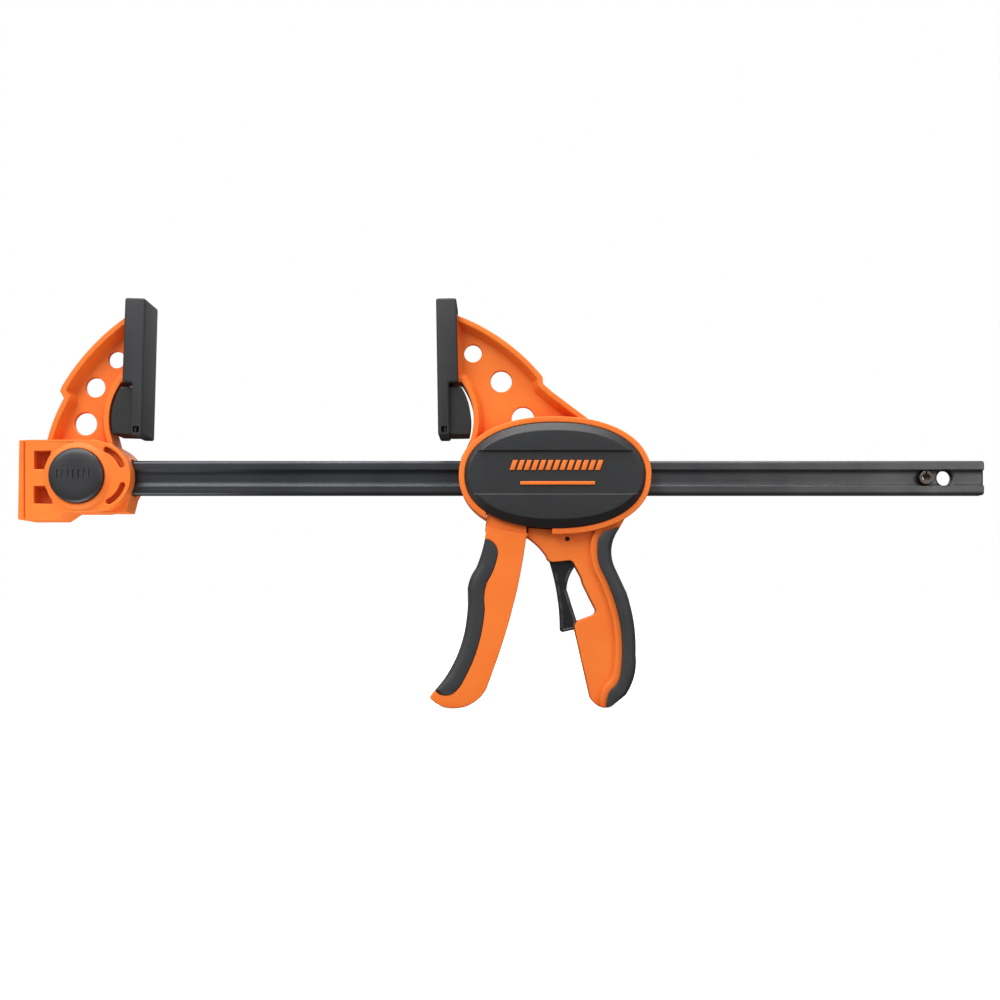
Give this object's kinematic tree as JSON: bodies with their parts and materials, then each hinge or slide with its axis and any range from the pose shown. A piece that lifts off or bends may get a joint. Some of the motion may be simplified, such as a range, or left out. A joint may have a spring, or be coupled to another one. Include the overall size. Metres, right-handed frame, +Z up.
{
  "type": "quick release bar clamp",
  "caption": "One-handed bar clamp with a steel bar, a pinned fixed jaw, a sliding jaw with a pistol grip, a squeeze lever and a release trigger.",
  "frame": {"origin": "on the bar's centre line, below the middle of the fixed pad's clamping face", "axes": "+X along the bar towards its free end, +Z up towards the jaw tips, the front with the push button faces -Y"},
  "size_m": [0.5306, 0.0375, 0.2243],
  "materials": {
    "bar_steel": "blackened steel, satin",
    "pin_steel": "plain steel",
    "screw_steel": "black zinc",
    "plate_steel": "hardened steel plate",
    "spring_steel": "spring wire",
    "orange_nylon": "moulded, lightly glossy",
    "black_nylon": "moulded, fine grain",
    "foot_nylon": "moulded, coarse grain",
    "pad_rubber": "soft, matt",
    "grip_rubber": "soft overmould, matt"
  },
  "bodies": {
    "frame": {"bar": "bar_steel", "stop_pin": "pin_steel", "fixed_jaw": "orange_nylon", "lock_cap": "black_nylon", "button_spring": "spring_steel"},
    "lock": {"push_button": "black_nylon", "lock_yoke": "plate_steel", "lock_pin": "pin_steel"},
    "fixed_swivel": {"fixed_pad": "pad_rubber", "fixed_foot": "foot_nylon", "fixed_foot_pin": "pin_steel"},
    "head": {"head_body": "orange_nylon", "handle_grip": "grip_rubber", "front_cover": "black_nylon", "rear_cover": "black_nylon", "cover_screws": "screw_steel", "lever_pin": "pin_steel", "trigger_pin": "pin_steel", "drive_spring": "spring_steel", "brake_spring": "spring_steel"},
    "lever": {"squeeze_lever": "orange_nylon", "lever_grip": "grip_rubber"},
    "drive": {"drive_plates": "plate_steel"},
    "brake": {"brake_plates": "plate_steel"},
    "trigger": {"release_trigger": "black_nylon"},
    "moving_swivel": {"moving_pad": "pad_rubber", "moving_foot": "foot_nylon", "moving_foot_pin": "pin_steel"}
  },
  "joints": [
    {"name": "head_slide", "type": "slide", "parent": "frame", "child": "head", "axis": [1, 0, 0], "range_m": [-0.156, 0.148]},
    {"name": "lever_squeeze", "type": "hinge", "parent": "head", "child": "lever", "pos_m": [0.206, 0, 0.0185], "axis": [0, -1, 0], "range_deg": [0, 15], "stiffness_Nm_per_rad": 1, "springref_deg": -11.46},
    {"name": "drive_step", "type": "slide", "parent": "head", "child": "drive", "axis": [1, 0, 0], "range_m": [0, 0.0093], "deforming": ["drive_spring"]},
    {"name": "trigger_pull", "type": "hinge", "parent": "head", "child": "trigger", "pos_m": [0.2314, 0, -0.0338], "axis": [0, -1, 0], "range_deg": [0, 6], "stiffness_Nm_per_rad": 0.2, "springref_deg": -17.19},
    {"name": "brake_tilt", "type": "hinge", "parent": "head", "child": "brake", "pos_m": [0.2403, 0, -0.012], "axis": [0, -1, 0], "range_deg": [-7.2, 0], "deforming": ["brake_spring"]},
    {"name": "button_press", "type": "slide", "parent": "frame", "child": "lock", "axis": [0, 1, 0], "range_m": [0, 0.005], "stiffness_N_per_m": 800, "springref_m": -0.006, "deforming": ["button_spring"]},
    {"name": "fixed_pad_swivel", "type": "hinge", "parent": "frame", "child": "fixed_swivel", "pos_m": [-0.00902, 0, 0.06625], "axis": [0, -1, 0], "range_deg": [-2, 2]},
    {"name": "moving_pad_swivel", "type": "hinge", "parent": "head", "child": "moving_swivel", "pos_m": [0.1691, 0, 0.06614], "axis": [0, -1, 0], "range_deg": [-2, 2]}
  ],
  "couplings": [
    {"joint": "drive_step", "follows": "lever_squeeze", "m_per_rad": 0.035141},
    {"joint": "brake_tilt", "follows": "trigger_pull", "ratio": -1.1667}
  ]
}
